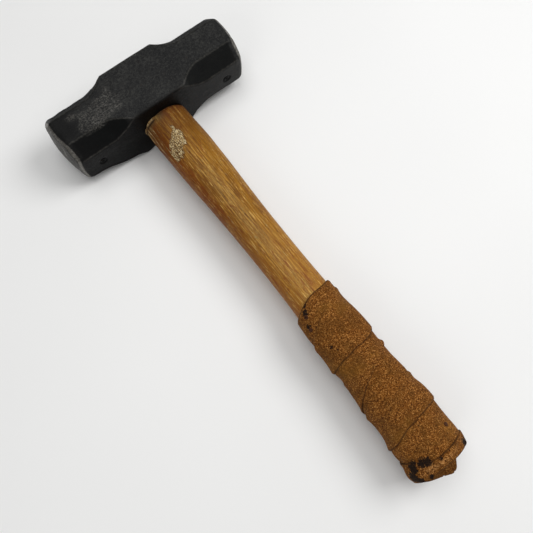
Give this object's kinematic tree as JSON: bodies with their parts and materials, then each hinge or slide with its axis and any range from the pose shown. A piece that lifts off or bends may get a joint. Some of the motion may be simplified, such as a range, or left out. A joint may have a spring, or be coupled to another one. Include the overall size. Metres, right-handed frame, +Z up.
{
  "type": "sledgehammer",
  "caption": "Short-handled double-faced sledgehammer with a black forged head octagonal at both ends, a varnished oval hickory handle and a wound suede leather grip.",
  "frame": {"origin": "middle of the lower cheek of the head, straight under the centre of the eye, on the surface the hammer lies on", "axes": "X along the head from one striking face to the other, -Y down the handle to the butt, +Z up, out of the other cheek"},
  "size_m": [0.17, 0.4048, 0.051],
  "materials": {
    "forged_steel": "black forge scale, worn to bare metal on the rims and edges",
    "hickory": "worn amber varnish",
    "wedge_wood": "bare end grain",
    "wedge_steel": "mill scale with light rust",
    "suede": "napped brown suede",
    "butt_suede": "napped brown suede, soiled at the folds",
    "tack_steel": "blued, dull"
  },
  "bodies": {
    "root": {"head": "forged_steel", "handle": "hickory", "wood_wedge": "wedge_wood", "steel_wedges": "wedge_steel", "grip_strip": "suede", "butt_leather": "butt_suede", "grip_tacks": "tack_steel"}
  },
  "joints": []
}
